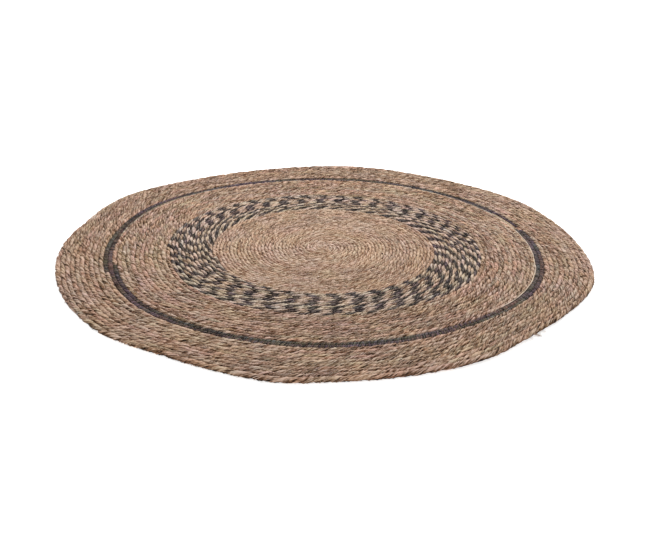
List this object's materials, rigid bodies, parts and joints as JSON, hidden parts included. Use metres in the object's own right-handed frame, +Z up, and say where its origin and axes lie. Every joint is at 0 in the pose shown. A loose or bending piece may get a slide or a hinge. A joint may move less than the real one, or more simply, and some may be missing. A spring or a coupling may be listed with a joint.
{
  "type": "round braided rug",
  "caption": "Flat round rug wound from braided natural fibre, with a two-tone ring around its middle and a thin dark ring near its rim.",
  "frame": {"origin": "middle of the hub, on the flat underside, where the rug meets the floor", "axes": "+Z up, away from the floor; +X to the right and +Y to the far side of the rug as it is shown"},
  "size_m": [0.9974, 1.0036, 0.0149],
  "materials": {
    "natural_centre": "natural plant fibre, pale warm beige, matte",
    "two_tone_braid": "natural and charcoal plant fibre braided together, matte",
    "natural_field": "natural plant fibre, warm beige, matte",
    "dark_braid": "charcoal-dyed plant fibre, matte",
    "natural_border": "natural plant fibre, warm beige brown, matte"
  },
  "bodies": {
    "root": {"centre_coil": "natural_centre", "two_tone_coil": "two_tone_braid", "field_coil": "natural_field", "dark_ring": "dark_braid", "border_coil": "natural_border"}
  },
  "joints": []
}
